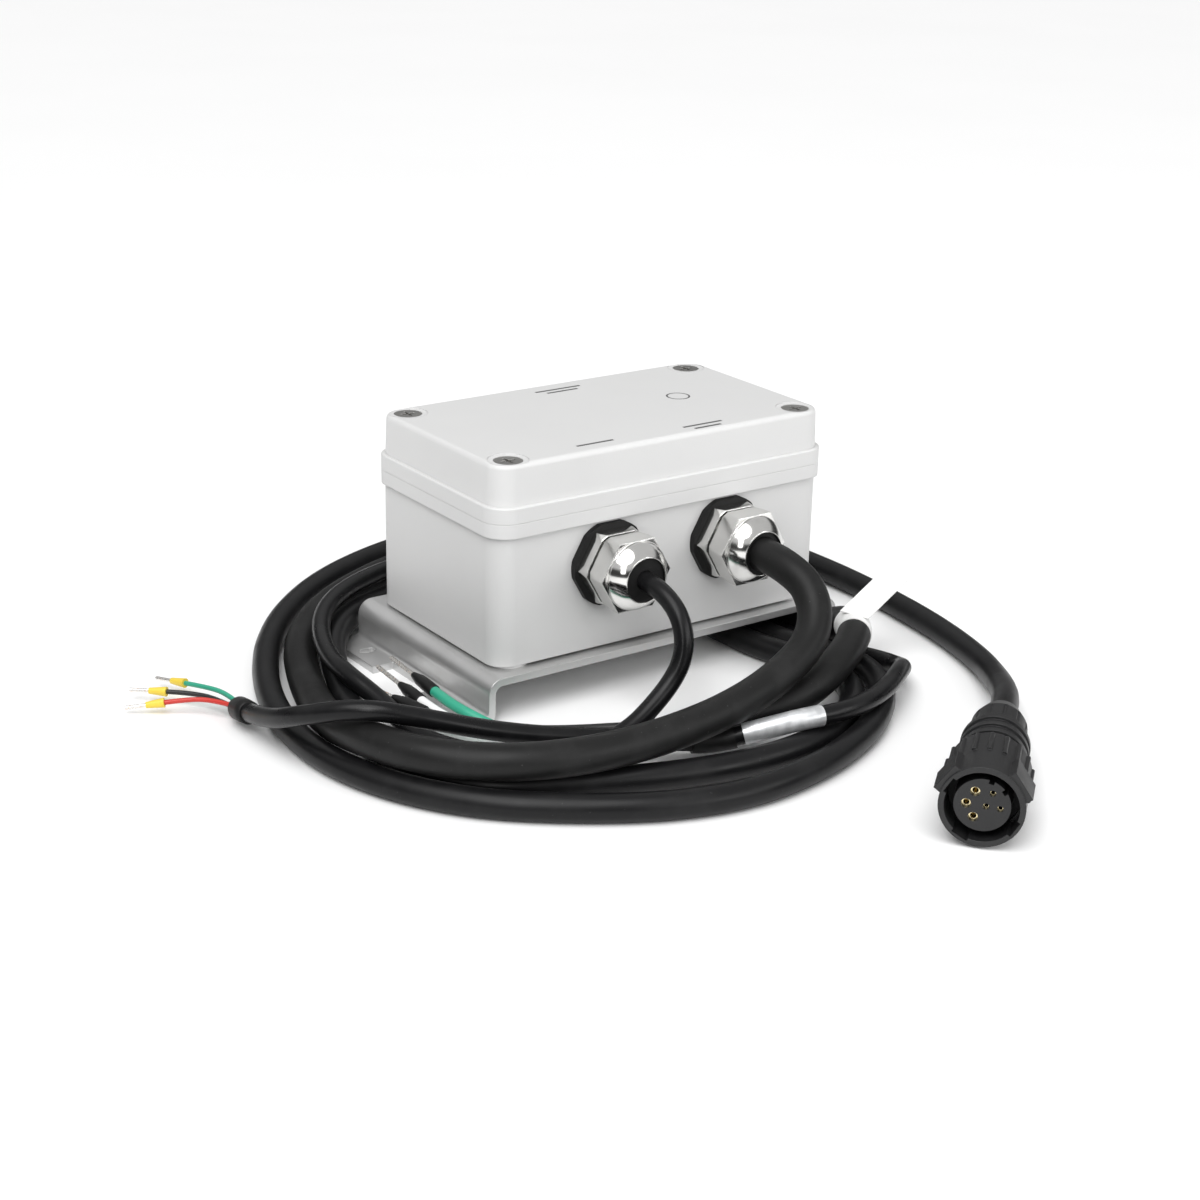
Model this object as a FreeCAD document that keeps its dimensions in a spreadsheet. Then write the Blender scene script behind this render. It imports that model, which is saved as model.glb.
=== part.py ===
"""Surge protection junction box for a power and data feed, on a folded steel bracket.

A light-grey IP66 enclosure, 160 x 92 mm at its band, sits on a bracket that lifts it off the
floor. Three M25 nickel-plated glands let in a power cable and a data cable on the front face
and let out one combined cable at the back, which ends in a round plug with a coupling ring.
All lengths are millimetres. Z is up, the two-gland face looks along -Y, and Z = 0 is the
underside of the bracket's flanges.
"""
import FreeCAD, Part
import Sketcher
import math
import os
import re

from FreeCAD import Placement, Rotation, Vector

doc = FreeCAD.newDocument("SurgeProtector")
sheet = doc.addObject("Spreadsheet::Sheet", "Sizes")

DIMENSIONS = [
    # bracket
    ("bracket_span", 170.8), ("bracket_depth", 100), ("bracket_height", 17.5),
    ("sheet_thick", 3), ("flange_span", 196), ("bend_outer", 6), ("bend_inner", 3),
    ("foot_bend", 2), ("notch_depth", 32), ("notch_reach", 9), ("slot_width", 4.5),
    ("slot_length", 7), ("slot_span", 183), ("slot_pitch", 64), ("corner_cut", 5),
    ("bracket_screw_span", 60), ("bracket_screw_pitch", 60),
    # enclosure
    ("body_length", 157), ("body_width", 89), ("body_radius", 8.4), ("wall", 2.8),
    ("floor_thick", 3), ("foot_radius", 8), ("foot_height", 1), ("band_low", 70),
    ("seam", 75.65), ("band_top", 81.95), ("band_over", 1.5), ("lid_top", 98),
    ("lid_draft", 1.7), ("lid_edge", 2), ("lid_skin", 3), ("pillar_radius", 8.2),
    ("screw_span", 137.6), ("screw_pitch", 72.8), ("screw_head", 5.5), ("head_tall", 3.2),
    ("head_sink", 0.5), ("ring_radius", 7.8), ("screw_shank", 2), ("screw_length", 30),
    ("running_gap", 0.08), ("gasket_width", 2.4), ("gasket_tall", 2), ("boss_radius", 3.6),
    ("board_height", 30), ("board_length", 118), ("board_width", 56), ("board_thick", 1.6),
    ("board_screw_span", 106), ("board_screw_pitch", 46),
    # glands
    ("gland_height", 52.8), ("gland_spread", 28.3), ("seal_flats", 32.4), ("seal_thick", 2.5),
    ("gland_flats", 28), ("gland_hex", 6), ("thread_radius", 12.5), ("thread_length", 10),
    ("spigot_radius", 11.2), ("spigot_length", 8.5), ("nut_gap", 1.2), ("nut_flats", 27.6),
    ("nut_hex", 9), ("nut_length", 15.8), ("mouth_radius", 8.8), ("insert_radius", 8.7),
    ("locknut_flats", 31), ("locknut_thick", 4.5),
    # cables
    ("power_diameter", 13.4), ("data_diameter", 7.4), ("output_diameter", 10.5),
    ("core_diameter", 4.1), ("wire_diameter", 1.9),
    # plug
    ("plug_radius", 11.4), ("ring_outer", 14.6), ("ring_bore", 12.6), ("ring_length", 29),
    ("insert_face", 9.6), ("plug_length", 75),
]
for row, (alias, value) in enumerate(DIMENSIONS, start=1):
    sheet.set("A%d" % row, alias)
    sheet.set("B%d" % row, str(value))
    sheet.setAlias("B%d" % row, alias)
doc.recompute()

ALIASES = {alias for alias, _ in DIMENSIONS}
NODES = []


def size(alias):
    """The number in a cell of the sheet."""
    return float(sheet.get(alias))


def formula(text):
    """Turn plain names such as wall into sheet references such as Sizes.wall."""
    def reference(match):
        word = match.group(0)
        return "Sizes." + word if word in ALIASES else word
    return re.sub(r"[a-z_]+", reference, str(text))


def bind(item, **sizes):
    """Bind properties of an object to formulas of the sheet's cells."""
    for name, text in sizes.items():
        item.setExpression(name, formula(text))
    return item


def place(item, x=0, y=0, z=0, axis=Vector(0, 0, 1), spin=0):
    """Put an object's own origin at x, y, z, with its Z along axis, turned about it by spin."""
    turn = Rotation(Vector(0, 0, 1), axis) * Rotation(Vector(0, 0, 1), spin)
    item.Placement = Placement(Vector(0, 0, 0), turn)
    for letter, text in (("x", x), ("y", y), ("z", z)):
        item.setExpression(".Placement.Base." + letter, formula(text))
    return item


def box(name, length, width, height, x=0, y=0, z=0):
    """A block centred on x and y, standing on z."""
    item = doc.addObject("Part::Box", name)
    bind(item, Length=length, Width=width, Height=height)
    return place(item, "%s - (%s) / 2" % (x, length), "%s - (%s) / 2" % (y, width), z)


def rod(name, radius, height, x=0, y=0, z=0, axis=Vector(0, 0, 1)):
    """A cylinder from x, y, z along axis."""
    item = doc.addObject("Part::Cylinder", name)
    bind(item, Radius=radius, Height=height)
    return place(item, x, y, z, axis)


def taper(name, radius_a, radius_b, height, x=0, y=0, z=0, axis=Vector(0, 0, 1)):
    """A cone frustum from x, y, z along axis."""
    item = doc.addObject("Part::Cone", name)
    bind(item, Radius1=radius_a, Radius2=radius_b, Height=height)
    return place(item, x, y, z, axis)


def hexagon(name, flats, height, x=0, y=0, z=0, spin=0):
    """A hexagonal prism, measured across its flats."""
    item = doc.addObject("Part::Prism", name)
    item.Polygon = 6
    bind(item, Circumradius="(%s) / 1.7320508" % flats, Height=height)
    return place(item, x, y, z, spin=spin)


def fuse(name, *parts):
    item = doc.addObject("Part::MultiFuse", name)
    item.Shapes = list(parts)
    return item


def common(name, *parts):
    item = doc.addObject("Part::MultiCommon", name)
    item.Shapes = list(parts)
    return item


def cut(name, base, *tools):
    item = doc.addObject("Part::Cut", name)
    item.Base = base
    item.Tool = tools[0] if len(tools) == 1 else fuse(name + "Tools", *tools)
    return item


def node(item, label):
    """Name a finished sub-part; its label is the name of its file."""
    item.Label = label
    NODES.append(item)
    return item


def solid_node(shapes, label):
    """A sub-part whose shape comes straight from Part, as one solid or a group of solids."""
    item = doc.addObject("Part::Feature", "Shape_" + label)
    item.Shape = shapes[0] if len(shapes) == 1 else Part.makeCompound(shapes)
    return node(item, label)


def rounded_block(name, length, width, height, radius, z, draft=None, top_edge=None):
    """A PartDesign body: a rectangle with rounded corners, padded upwards from z."""
    body = doc.addObject("PartDesign::Body", name)
    outline = body.newObject("Sketcher::SketchObject", name + "Outline")
    plane = [item for item in body.Origin.OriginFeatures if item.Role == "XY_Plane"][0]
    outline.AttachmentSupport = [(plane, "")]
    outline.MapMode = "FlatFace"
    corners = [Vector(-10, -5, 0), Vector(10, -5, 0), Vector(10, 5, 0), Vector(-10, 5, 0)]
    for index in range(4):
        outline.addGeometry(Part.LineSegment(corners[index], corners[(index + 1) % 4]), False)
    for index in range(4):
        outline.addConstraint(Sketcher.Constraint("Coincident", index, 2, (index + 1) % 4, 1))
    for index, kind in enumerate(("Horizontal", "Vertical", "Horizontal", "Vertical")):
        outline.addConstraint(Sketcher.Constraint(kind, index))
    outline.addConstraint(Sketcher.Constraint("Symmetric", 0, 1, 1, 2, -1, 1))
    outline.addConstraint(Sketcher.Constraint("DistanceX", 0, 1, 0, 2, 20))
    outline.renameConstraint(outline.ConstraintCount - 1, "length")
    outline.addConstraint(Sketcher.Constraint("DistanceY", 1, 1, 1, 2, 10))
    outline.renameConstraint(outline.ConstraintCount - 1, "width")
    outline.setExpression("Constraints.length", formula(length))
    outline.setExpression("Constraints.width", formula(width))
    pad = body.newObject("PartDesign::Pad", name + "Pad")
    pad.Profile = outline
    bind(pad, Length=height)
    if draft:
        pad.setExpression("TaperAngle", formula("-(%s)" % draft))
    doc.recompute()
    upright = []
    for index, edge in enumerate(pad.Shape.Edges, start=1):
        if edge.BoundBox.ZLength > 0.5 * pad.Shape.BoundBox.ZLength:
            upright.append("Edge%d" % index)
    rounding = body.newObject("PartDesign::Fillet", name + "Corners")
    rounding.Base = (pad, upright)
    bind(rounding, Radius=radius)
    doc.recompute()
    if top_edge:
        top = max(corner.Z for corner in rounding.Shape.Vertexes)
        rim = []
        for index, edge in enumerate(rounding.Shape.Edges, start=1):
            if min(corner.Z for corner in edge.Vertexes) > top - 0.01:
                rim.append("Edge%d" % index)
        softening = body.newObject("PartDesign::Fillet", name + "Rim")
        softening.Base = (rounding, rim)
        bind(softening, Radius=top_edge)
    return place(body, z=z)


def at_corners(span, pitch):
    """The four sign pairs, with formulas for the places of a rectangle's corners."""
    for column, row in ((-1, -1), (1, -1), (-1, 1), (1, 1)):
        yield column, row, "%d * (%s) / 2" % (column, span), "%d * (%s) / 2" % (row, pitch)


# --------------------------------------------------------------------------- bracket
def fillet_along_y(name, base, radii):
    """Round the edges that run along Y, chosen by their distance from the middle and height."""
    doc.recompute()
    item = doc.addObject("Part::Fillet", name)
    item.Base = base
    chosen = []
    for index, edge in enumerate(base.Shape.Edges, start=1):
        reach = edge.BoundBox
        if reach.YLength < 10 or reach.XLength > 0.01:
            continue
        for offset, height, radius in radii:
            if abs(abs(reach.XMin) - offset) < 0.01 and abs(reach.ZMin - height) < 0.01:
                chosen.append((index, radius, radius))
    item.Edges = chosen
    return item


def make_bracket():
    outer = box("BracketOuter", "bracket_span", "bracket_depth", "bracket_height")
    flanges = box("BracketFlanges", "flange_span", "bracket_depth", "sheet_thick")
    tunnel = box("BracketTunnel", "bracket_span - 2 * sheet_thick", "bracket_depth + 2",
                 "bracket_height - sheet_thick + 1", z="-1")
    hat = cut("BracketHat", fuse("BracketSheet", outer, flanges), tunnel)
    half_outer = size("bracket_span") / 2
    half_inner = half_outer - size("sheet_thick")
    underside = size("bracket_height") - size("sheet_thick")
    bends = fillet_along_y("BracketBends", hat, [
        (half_outer, size("bracket_height"), size("bend_outer")),
        (half_inner, underside, size("bend_inner")),
        (half_outer, size("sheet_thick"), size("foot_bend")),
        (half_inner, 0, size("foot_bend") + 1.5)])
    tools = []
    for side in (-1, 1):
        tools.append(box("BracketNotch%d" % side, "2 * notch_reach", "notch_depth", "sheet_thick + 2",
                         x="%d * flange_span / 2" % side, z="-1"))
    for column, row, x, y in at_corners("flange_span", "bracket_depth"):
        corner = box("BracketCorner%d%d" % (column, row), "corner_cut * 1.41421", "corner_cut * 1.41421",
                     "sheet_thick + 2")
        turned = doc.addObject("Part::MultiFuse", "BracketCornerTurned%d%d" % (column, row))
        turned.Shapes = [corner, box("BracketCornerPin%d%d" % (column, row), 1, 1, 1)]
        place(turned, x, y, "-1", spin=45)
        tools.append(turned)
    for column, row, x, y in at_corners("slot_span", "slot_pitch"):
        tag = "%d%d" % (column, row)
        tools.append(box("SlotMiddle" + tag, "slot_length - slot_width", "slot_width",
                         "sheet_thick + 2", x=x, y=y, z="-1"))
        for end in (-1, 1):
            shift = "%s + %d * (slot_length - slot_width) / 2" % (x, end)
            tools.append(rod("SlotEnd%s%d" % (tag, end), "slot_width / 2", "sheet_thick + 2",
                             shift, y, "-1"))
    for column, row, x, y in at_corners("bracket_screw_span", "bracket_screw_pitch"):
        tools.append(rod("BracketHole%d%d" % (column, row), 2.2, 10, x, y, "bracket_height - 6"))
    node(cut("Bracket", bends, *tools), "mounting_bracket")


# --------------------------------------------------------------------------- enclosure
def make_base():
    floor_level = "bracket_height + foot_height"
    hull = rounded_block("BaseHull", "body_length", "body_width", "band_low - (%s)" % floor_level,
                         "body_radius", floor_level)
    band = rounded_block("BaseBand", "body_length + 2 * band_over", "body_width + 2 * band_over",
                         "seam - band_low", "body_radius + band_over", "band_low")
    feet = []
    pillars = []
    bores = []
    for column, row, x, y in at_corners("screw_span", "screw_pitch"):
        tag = "%d%d" % (column, row)
        feet.append(rod("BaseFoot" + tag, "foot_radius", "foot_height + 0.5", x, y, "bracket_height"))
        pillars.append(rod("BasePillar" + tag, "pillar_radius", "seam", x, y, "bracket_height"))
        bores.append(rod("BaseBore" + tag, "screw_shank + running_gap", 20, x, y, "seam - 18"))
    hollow = rounded_block("BaseHollow", "body_length - 2 * wall", "body_width - 2 * wall", "seam",
                           "body_radius - wall", "%s + floor_thick" % floor_level)
    room = cut("BaseRoom", hollow, *pillars)
    bosses = []
    for column, row, x, y in at_corners("board_screw_span", "board_screw_pitch"):
        tag = "%d%d" % (column, row)
        bosses.append(rod("BoardBoss" + tag, "boss_radius", "board_height - (%s)" % floor_level, x, y,
                          floor_level))
        bores.append(rod("BoardBore" + tag, 1.25, 8, x, y, "board_height - 7"))
    for column, row, x, y in at_corners("bracket_screw_span", "bracket_screw_pitch"):
        tag = "%d%d" % (column, row)
        bosses.append(rod("MountBoss" + tag, "boss_radius + 1", 9, x, y, floor_level))
        bores.append(rod("MountBore" + tag, 1.9, 8, x, y, "bracket_height - 1"))
    shell = cut("BaseShell", fuse("BaseOutside", hull, band, *feet), room)
    bores.append(rod("DoorData", "thread_radius + 0.2", 10, "-gland_spread", "-(body_width / 2) + 5",
                     "gland_height", Vector(0, -1, 0)))
    bores.append(rod("DoorPower", "thread_radius + 0.2", 10, "gland_spread", "-(body_width / 2) + 5",
                     "gland_height", Vector(0, -1, 0)))
    bores.append(rod("DoorOutput", "thread_radius + 0.2", 10, 0, "body_width / 2 - 5", "gland_height",
                     Vector(0, 1, 0)))
    node(cut("Base", fuse("BaseWithBosses", shell, *bosses), *bores), "enclosure_base")


def corner_relief(name, reach):
    """Blocks that cover each corner outside a screw, rounded at reach round the screw's axis."""
    tools = []
    for column, row, x, y in at_corners("screw_span", "screw_pitch"):
        tag = "%s%d%d" % (name, column, row)
        tools.append(rod(tag + "Round", reach, 10, x, y, "seam - 3"))
        past_x = "%s + %d * 30" % (x, column)
        past_y = "%s + %d * 30" % (y, row)
        near_x = "%s - %d * (%s) / 2" % (past_x, column, reach)
        near_y = "%s - %d * (%s) / 2" % (past_y, row, reach)
        tools.append(box(tag + "SideA", "60 + (%s)" % reach, 60, 10, near_x, past_y, "seam - 3"))
        tools.append(box(tag + "SideB", 60, "60 + (%s)" % reach, 10, past_x, near_y, "seam - 3"))
    return tools


def seal_ring(name, slack):
    """The ring the lid seals on: along the walls, and inside of the four cover screws."""
    outer = cut(name + "Outer",
                rounded_block(name + "OuterBlock", "body_length - 0.4 - 2 * %s" % slack,
                              "body_width - 0.4 - 2 * %s" % slack, "gasket_tall",
                              "body_radius - 0.2", "seam"),
                *corner_relief(name + "Near", "4.6 + %s" % slack))
    inner = cut(name + "Inner",
                rounded_block(name + "InnerBlock", "body_length - 0.4 - 2 * gasket_width + 2 * %s" % slack,
                              "body_width - 0.4 - 2 * gasket_width + 2 * %s" % slack, "gasket_tall + 2",
                              "body_radius - gasket_width", "seam - 1"),
                *corner_relief(name + "Far", "4.6 + gasket_width - %s" % slack))
    return cut(name, outer, inner)


def make_lid():
    band = rounded_block("LidBand", "body_length + 2 * band_over", "body_width + 2 * band_over",
                         "band_top - seam", "body_radius + band_over", "seam", top_edge="0.6")
    crown = rounded_block("LidCrown", "body_length", "body_width", "lid_top - seam - 1", "body_radius",
                          "seam + 1", draft="lid_draft", top_edge="lid_edge")
    hollow = rounded_block("LidHollow", "body_length - 2 * wall - 3", "body_width - 2 * wall - 3",
                           "lid_top - lid_skin - seam + 5", "body_radius - wall", "seam - 5")
    pillars = []
    holes = []
    for column, row, x, y in at_corners("screw_span", "screw_pitch"):
        tag = "%d%d" % (column, row)
        pillars.append(rod("LidPillar" + tag, "pillar_radius", 40, x, y, "seam - 8"))
        holes.append(rod("LidHole" + tag, "screw_shank + running_gap", 40, x, y, "seam - 5"))
        holes.append(rod("LidPocket" + tag, "screw_head + running_gap", 10, x, y,
                         "lid_top - head_sink - head_tall"))
        holes.append(rod("LidRing" + tag, "ring_radius", 5, x, y, "lid_top - 0.4"))
    room = cut("LidRoom", hollow, *pillars)
    groove = seal_ring("LidGroove", "0")
    shell = cut("LidShell", fuse("LidOutside", band, crown), room)
    node(cut("Lid", shell, groove, *holes), "enclosure_lid")


def make_gasket():
    node(seal_ring("Gasket", "0.05"), "lid_gasket")


def make_cover_screws():
    names = {(-1, -1): "front_left", (1, -1): "front_right", (-1, 1): "back_left", (1, 1): "back_right"}
    for column, row, x, y in at_corners("screw_span", "screw_pitch"):
        tag = "%d%d" % (column, row)
        under_head = "lid_top - head_sink - head_tall"
        head = rod("ScrewHead" + tag, "screw_head", "head_tall", x, y, under_head)
        shank = rod("ScrewShank" + tag, "screw_shank", "screw_length", x, y,
                    "%s - screw_length" % under_head)
        slot_a = box("ScrewSlotA" + tag, "screw_head * 1.1", 1.1, 3, x, y, "lid_top - head_sink - 1.8")
        slot_b = box("ScrewSlotB" + tag, 1.1, "screw_head * 1.1", 3, x, y, "lid_top - head_sink - 1.8")
        node(cut("CoverScrew" + tag, fuse("ScrewBlank" + tag, head, shank), slot_a, slot_b),
             "cover_screw_" + names[(column, row)])


def make_bracket_screws():
    shapes = []
    deck = size("bracket_height") - size("sheet_thick")
    for column, row in ((-1, -1), (1, -1), (-1, 1), (1, 1)):
        x = column * size("bracket_screw_span") / 2
        y = row * size("bracket_screw_pitch") / 2
        head = Part.makeCylinder(3.5, 2.2, Vector(x, y, deck - 2.2))
        shank = Part.makeCylinder(1.9, 9, Vector(x, y, deck - 0.5))
        recess = Part.makeBox(4.4, 0.9, 1.2, Vector(x - 2.2, y - 0.45, deck - 2.3))
        shapes.append(head.fuse(shank).cut(recess))
    solid_node(shapes, "bracket_screws")


# --------------------------------------------------------------------------- glands
FRONT = Vector(0, -1, 0)
BACK = Vector(0, 1, 0)
GLANDS = [
    ("power", "gland_spread", -1, FRONT, "power_diameter"),
    ("data", "-gland_spread", -1, FRONT, "data_diameter"),
    ("output", "0", 1, BACK, "output_diameter"),
]


def make_gland(name, x, side, axis, cable):
    """Seal, body, insert, dome nut and locknut, built along +Z from the enclosure's face."""
    wall_face = "%d * body_width / 2" % side
    door = {"x": x, "y": wall_face, "z": "gland_height", "axis": axis}

    plate = common(name + "SealShape", hexagon(name + "SealHex", "seal_flats", "seal_thick"),
                   rod(name + "SealRound", "seal_flats * 0.525", "seal_thick"))
    seal = cut(name + "Seal", plate, rod(name + "SealHole", "thread_radius", 9, z="-2"))
    node(place(seal, **door), name + "_gland_seal")

    collar = common(name + "HexShape", hexagon(name + "Hex", "gland_flats", "gland_hex"),
                    taper(name + "HexBevel", "gland_flats * 0.6", "gland_flats * 0.545", "gland_hex"))
    place(collar, z="seal_thick")
    thread = rod(name + "Thread", "thread_radius", "thread_length + seal_thick + 0.5", z="-thread_length")
    spigot = rod(name + "Spigot", "spigot_radius", "spigot_length + 0.5", z="seal_thick + gland_hex - 0.5")
    bore = rod(name + "Bore", "insert_radius", 40, z="-15")
    body = cut(name + "Body", fuse(name + "Blank", collar, thread, spigot), bore)
    node(place(body, **door), name + "_gland_body")

    grip = rod(name + "Grip", "insert_radius", "seal_thick + gland_hex + nut_gap + nut_length - 1.4 - 4",
               z="4")
    hole = rod(name + "GripHole", "%s / 2" % cable, 40)
    node(place(cut(name + "Insert", grip, hole), **door), name + "_gland_insert")

    start = "seal_thick + gland_hex + nut_gap"
    skirt = common(name + "NutHexShape", hexagon(name + "NutHex", "nut_flats", "nut_hex"),
                   taper(name + "NutBevel", "nut_flats * 0.548", "nut_flats * 0.6", "nut_hex"))
    ball = doc.addObject("Part::Sphere", name + "NutBall")
    bind(ball, Radius="nut_flats * 0.545")
    place(ball, z="nut_length - 12.4")
    dome = common(name + "Dome", rod(name + "DomeRod", "nut_flats * 0.486", "nut_length"), ball)
    chamber = rod(name + "Chamber", "spigot_radius + running_gap", "spigot_length - nut_gap + 0.3",
                  z="-0.1")
    mouth = rod(name + "Mouth", "mouth_radius", 30, z="1")
    nut = cut(name + "Nut", fuse(name + "NutBlank", skirt, dome), chamber, mouth)
    toward = "%d * (%s)" % (side, start)
    place(nut, x, "%s + %s" % (wall_face, toward), "gland_height", axis)
    node(nut, name + "_dome_nut")

    ring = cut(name + "LockRing", hexagon(name + "LockHex", "locknut_flats", "locknut_thick"),
               rod(name + "LockHole", "thread_radius", 20, z="-5"))
    place(ring, x, "%s - %d * (wall + locknut_thick)" % (wall_face, side), "gland_height", axis)
    node(ring, name + "_locknut")


# --------------------------------------------------------------------------- cables
POWER_ROUTE = [
    (28.3, -45, 52.8), (28.3, -71, 52.8), (28.6, -84, 51.6), (30, -95, 47),
    (27, -104, 38.5), (18, -110.5, 30.5),
    (2, -115, 24.5), (-18, -120, 20.8), (-42, -123, 18.2), (-72, -125, 17.6), (-100, -121, 17.6),
    (-124, -110, 17.9), (-141, -91, 18), (-149, -66, 17), (-146, -34, 10.8), (-133.5, 4, 6.9),
    (-118.2, 41, 6.8), (-94, 71, 6.8), (-62, 92, 6.8), (-26, 105, 6.8), (12, 110, 6.8),
    (46, 102, 6.8), (68, 81, 6.8), (74.4, 50, 6.8), (74, 8, 6.8), (74.4, -32, 6.8),
    (74.6, -54, 7.8), (73.5, -69, 15.2), (66, -84, 18.6), (52, -97, 18.8), (34, -107, 16.3),
    (15, -112, 11.5), (-6, -110, 7.6), (-28, -105, 6.8)]
DATA_ROUTE = [
    (-28.3, -45, 52.8), (-28.3, -70, 52.8), (-28.2, -80, 51.4), (-27.4, -88, 46.6),
    (-27.5, -93, 39), (-29.5, -95, 30),
    (-34, -95, 22.5), (-42, -95.5, 15.5), (-54, -97, 8.6), (-72, -97, 3.8), (-92, -90, 3.8),
    (-109, -75, 3.8), (-118, -51, 3.8), (-119, -30, 9.5), (-124.5, -10, 16), (-122, 8, 16),
    (-114, 30, 17.7), (-101, 49, 18.4), (-84, 63, 18.6), (-64, 73, 18.2), (-45, 83, 15.5),
    (-24, 92, 9.4), (4, 97.5, 3.9),
    (31, 94, 3.8), (51.5, 83, 3.8), (61.5, 65, 3.8), (62.8, 40, 3.8), (62.4, 2, 3.8),
    (62.8, -36, 3.8), (64.5, -58, 3.8), (71, -74, 3.8), (77.5, -87, 3.8), (76.5, -101, 5.5),
    (63, -115, 13.2), (38, -132, 15), (15, -138, 15), (-3, -134, 14.6), (-17, -127.5, 11.2),
    (-32, -118, 6.4), (-48, -110, 7.4), (-66, -103, 10.5), (-87, -95, 13), (-108, -86, 17),
    (-130, -78, 24), (-150, -68, 29), (-163, -49, 22), (-166, -25, 12), (-163, 2, 5.9)]
OUTPUT_ROUTE = [
    (0, 45, 52.8), (0, 70, 52.8), (0.4, 85, 52.3), (3.4, 98, 49.2), (13, 107, 43.5), (26, 106, 36),
    (36, 96, 29), (40.5, 82, 22), (41, 66, 13.6), (41.2, 50, 6.8), (41, 30, 5.3),
    (40.6, -2, 5.3), (40.8, -34, 5.3), (42.5, -55, 5.3), (48, -73, 5.3), (51, -91, 5.3),
    (44, -109, 5.3), (27, -125.5, 5.3), (2, -136.5, 5.3), (-28, -138.5, 5.3), (-62, -131, 5.3),
    (-94, -117, 5.3), (-120, -104, 5.3), (-135, -80, 5.3), (-135, -50, 5.3), (-127.5, -20, 5.3),
    (-118.5, 7, 6.4), (-108, 32.5, 8.9), (-88, 57, 8.9), (-60, 73, 6.2), (-22, 83.5, 5.3),
    (12, 84.5, 5.3), (37, 79.5, 5.3), (50.5, 65, 5.3), (52.4, 42, 5.3), (51.9, 6, 5.3),
    (52.2, -32, 5.3), (54.5, -57, 5.3), (61.5, -75, 5.3), (64.5, -92, 5.3), (57.5, -110, 5.3),
    (43, -126.5, 5.3), (22, -141, 5.3), (-8, -153, 5.3), (-42, -158, 5.3), (-74, -151, 5.3),
    (-104, -134, 5.3), (-132, -111, 5.3), (-151, -79, 5.3), (-158, -42, 5.3), (-152, -5, 5.3),
    (-140, 27, 5.3), (-122, 59, 5.3), (-97, 88, 5.3), (-66, 111, 5.3), (-30, 126, 5.3),
    (10, 133, 5.3), (50, 128, 5.3), (86, 107, 5.3), (111, 74, 5.3), (123, 36, 5.3),
    (125.5, -4, 5.3), (123.5, -42, 5.3), (118.5, -78, 5.3), (109, -111, 5.6), (95, -136, 7.8),
    (77.5, -157, 12.6), (58.4, -173, 15.6), (46.9, -182.7, 15.65)]
CORE_ROUTES = {
    "power_core_green": [
        (-29.4, -102.1, 5.4), (-40, -94.5, 2.3), (-52, -87, 2.2), (-66, -81, 2.2), (-80, -74, 2.6),
        (-91, -65, 5.6), (-97, -54, 8.8), (-99, -42, 10), (-98, -29, 10)],
    "power_core_white": [
        (-29.4, -107, 5.2), (-41, -100, 2.3), (-54.5, -91, 2.2), (-69, -85, 2.2), (-83.5, -77.5, 2.6),
        (-95.5, -68.5, 5), (-103, -57, 7.6), (-106, -45, 8.4), (-105, -31, 8.4)],
    "power_core_black": [
        (-29.4, -104.6, 10.2), (-41, -97, 6.6), (-53.5, -89, 6), (-68, -83, 6.2), (-82.5, -76, 6.8),
        (-95, -69.5, 9), (-104, -62, 9.4), (-109.3, -53, 9.4), (-111.2, -43, 9.6)],
}
WIRE_ROUTES = {
    "data_wire_green": [(-162, 5.8, 6.7), (-162, 14, 6.9), (-164, 24, 6.3), (-169, 36, 5)],
    "data_wire_black": [(-163.4, 5.8, 4.8), (-165, 15, 4.9), (-170, 25, 5), (-178, 33, 4.6)],
    "data_wire_red": [(-164.8, 5.8, 6.2), (-168.5, 13, 6.3), (-175, 19, 6), (-183, 24, 4.6)],
}


def path_edges(points):
    """Straight runs joined by tangent arcs, as a list run, arc, run, and the arcs' radii."""
    stations = [Vector(*point) for point in points]
    edges = []
    radii = []
    start = stations[0]
    for before, corner, after in zip(stations, stations[1:], stations[2:]):
        back = before - corner
        ahead = after - corner
        turn = math.pi - back.getAngle(ahead)
        setback = 0.45 * min(back.Length, ahead.Length)
        radii.append(setback / math.tan(turn / 2))
        back.normalize()
        ahead.normalize()
        inward = back + ahead
        inward.normalize()
        enter = corner + back * setback
        leave = corner + ahead * setback
        reach = math.hypot(radii[-1], setback) - radii[-1]
        edges.append(Part.LineSegment(start, enter).toShape())
        edges.append(Part.Arc(enter, corner + inward * reach, leave).toShape())
        start = leave
    edges.append(Part.LineSegment(start, stations[-1]).toShape())
    return edges, radii


def sweep(edges, radius):
    """A round tube along edges; its volume is compared with its section times its length."""
    wire = Part.Wire(edges)
    first = edges[0]
    start = first.valueAt(first.FirstParameter)
    heading = first.tangentAt(first.FirstParameter)
    section = Part.Wire([Part.makeCircle(radius, start, heading)])
    tube = wire.makePipeShell([section], True, False, 2)
    expected = math.pi * radius ** 2 * wire.Length
    if abs(tube.Volume / expected - 1) > 0.02 or not tube.isValid():
        raise RuntimeError("a swept tube is wrong: %.4f" % (tube.Volume / expected))
    return tube


def make_cable(label, points, diameter):
    edges, radii = path_edges(points)
    tube = sweep(edges, diameter / 2)
    length = sum(edge.Length for edge in edges)
    tight = min(radii)
    print("%s: %.0f mm long, tightest arc %.1f mm, %.1f diameters"
          % (label, length, tight, tight / diameter))
    return solid_node([tube], label)


def sleeve(points, first, last, inner, outer):
    """A thin tube round a cable, from the bend at one station of its route to that at another."""
    start = 2 * points.index(first) - 1
    end = 2 * points.index(last)
    edges = path_edges(points)[0][start:end]
    return sweep(edges, outer).cut(sweep(edges, inner))


def make_cables():
    power = make_cable("power_cable", POWER_ROUTE, size("power_diameter"))
    data = make_cable("data_cable", DATA_ROUTE, size("data_diameter"))
    output = make_cable("output_cable", OUTPUT_ROUTE, size("output_diameter"))
    return power, data, output


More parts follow.
